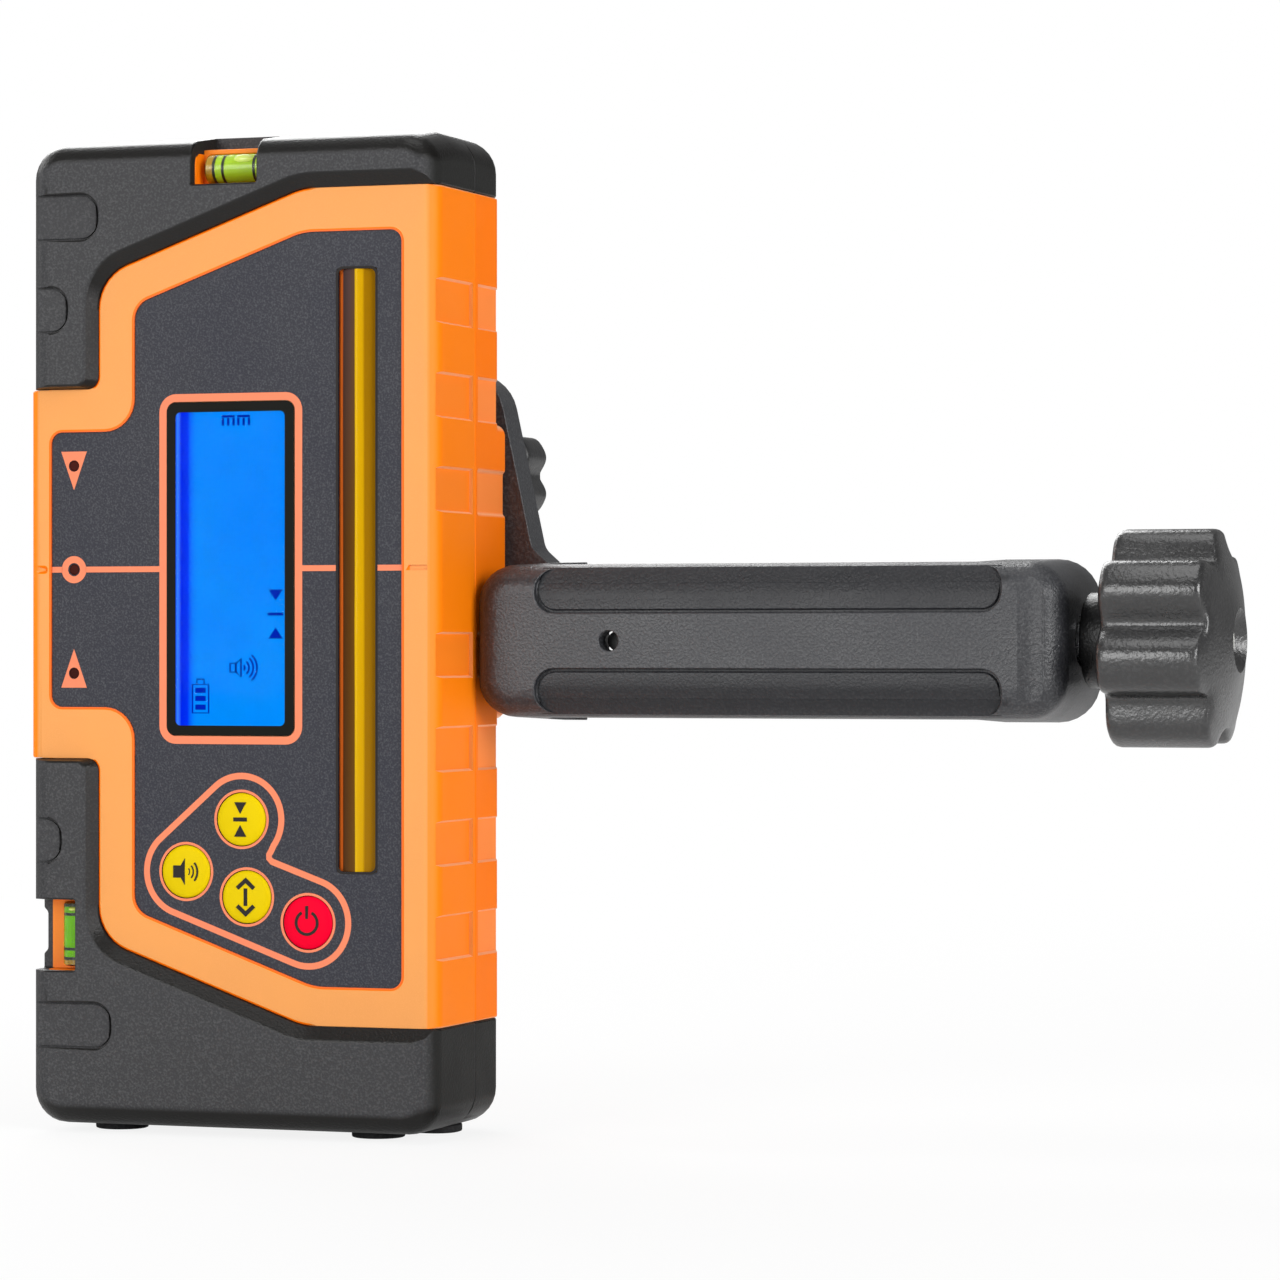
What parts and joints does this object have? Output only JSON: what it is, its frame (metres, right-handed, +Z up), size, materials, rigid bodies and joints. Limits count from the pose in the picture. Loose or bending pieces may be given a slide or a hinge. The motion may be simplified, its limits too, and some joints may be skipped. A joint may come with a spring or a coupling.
{
  "type": "laser receiver",
  "caption": "Hand-held laser receiver with a tall sensor window, a screen and round keys, held on a screw clamp that grips a levelling rod.",
  "frame": {"origin": "middle of the clamp's rod gap at rest, level with the on-grade marks", "axes": "+X along the clamp arm from the receiver to its knob, -Y out of the receiver's face, +Z up along the rod"},
  "size_m": [0.2086, 0.0549, 0.1725],
  "materials": {
    "shell_orange": "satin",
    "bumper_rubber": "fine grain",
    "black_rubber": "matte",
    "panel_dark": "grained",
    "lens_clear": "clear",
    "lcd_blue": "lit",
    "white_plastic": "matte",
    "window_amber": "clear amber",
    "led_red": "clear red",
    "board_green": "solder mask",
    "component_black": "matte",
    "key_yellow": "satin",
    "key_red": "satin",
    "vial_yellow": "clear",
    "vial_green": "clear",
    "cell_wrap": "gloss",
    "steel": "plated",
    "brass": "turned",
    "clamp_black": "grained"
  },
  "bodies": {
    "receiver": {"front_shell": "shell_orange", "rear_shell": "shell_orange", "top_bumper_front": "bumper_rubber", "top_bumper_rear": "bumper_rubber", "bottom_bumper_front": "bumper_rubber", "bottom_bumper_rear": "bumper_rubber", "shell_gasket": "black_rubber", "shell_screws": "steel", "base_feet": "black_rubber", "front_panel": "panel_dark", "screen_lens": "lens_clear", "lcd_glass": "lcd_blue", "lcd_backlight": "white_plastic", "sensor_window": "window_amber", "photodiode_board": "board_green", "photodiodes": "component_black", "main_board": "board_green", "board_screws": "steel", "key_switches": "component_black", "indicator_lenses": "led_red", "indicator_leds": "led_red", "buzzer": "component_black", "top_vial": "vial_yellow", "top_vial_seat": "shell_orange", "side_vial": "vial_green", "side_vial_seat": "shell_orange", "battery_cells": "cell_wrap", "battery_contacts": "steel", "door_hinge_pin": "steel", "clamp_insert": "brass", "clamp_frame": "clamp_black", "stop_pin": "steel", "fixed_jaw_pad": "black_rubber", "clamp_nut": "brass"},
    "accuracy_key": {"key_accuracy": "key_yellow"},
    "sound_key": {"key_sound": "key_yellow"},
    "units_key": {"key_units": "key_yellow"},
    "power_key": {"key_power": "key_red"},
    "battery_door": {"battery_door": "clamp_black", "door_seal": "black_rubber"},
    "jaw": {"moving_jaw": "clamp_black", "moving_jaw_pad": "black_rubber", "jaw_keeper": "steel"},
    "clamp_screw": {"clamp_screw": "steel", "clamp_knob": "clamp_black", "knob_end_screw": "steel"},
    "bracket_washer": {"bracket_washer": "steel"},
    "bracket_screw": {"bracket_stud": "steel", "bracket_knob": "clamp_black"}
  },
  "joints": [
    {"name": "accuracy_key_press", "type": "slide", "parent": "receiver", "child": "accuracy_key", "axis": [0, 1, 0], "range_m": [0, 0.0006], "stiffness_N_per_m": 500},
    {"name": "sound_key_press", "type": "slide", "parent": "receiver", "child": "sound_key", "axis": [0, 1, 0], "range_m": [0, 0.0006], "stiffness_N_per_m": 500},
    {"name": "units_key_press", "type": "slide", "parent": "receiver", "child": "units_key", "axis": [0, 1, 0], "range_m": [0, 0.0006], "stiffness_N_per_m": 500},
    {"name": "power_key_press", "type": "slide", "parent": "receiver", "child": "power_key", "axis": [0, 1, 0], "range_m": [0, 0.0006], "stiffness_N_per_m": 500},
    {"name": "battery_door_swing", "type": "hinge", "parent": "receiver", "child": "battery_door", "pos_m": [-0.059, -0.0034, -0.0896], "axis": [-1, 0, 0], "range_deg": [0, 90]},
    {"name": "jaw_slide", "type": "slide", "parent": "receiver", "child": "jaw", "axis": [1, 0, 0], "range_m": [0, 0.0421]},
    {"name": "clamp_knob_turn", "type": "hinge", "parent": "jaw", "child": "clamp_screw", "pos_m": [0.021, -0.004, -0.0124], "axis": [1, 0, 0], "range_deg": [0, 7560]},
    {"name": "bracket_screw_advance", "type": "slide", "parent": "receiver", "child": "bracket_washer", "axis": [0, 1, 0], "range_m": [0, 0.0081]},
    {"name": "bracket_knob_turn", "type": "hinge", "parent": "bracket_washer", "child": "bracket_screw", "pos_m": [-0.03, 0.0105, 0.0172], "axis": [0, 1, 0], "range_deg": [0, 2880]}
  ],
  "couplings": [
    {"joint": "jaw_slide", "follows": "clamp_knob_turn", "m_per_rad": 0.00031831},
    {"joint": "bracket_screw_advance", "follows": "bracket_knob_turn", "m_per_rad": 0.00015915}
  ]
}
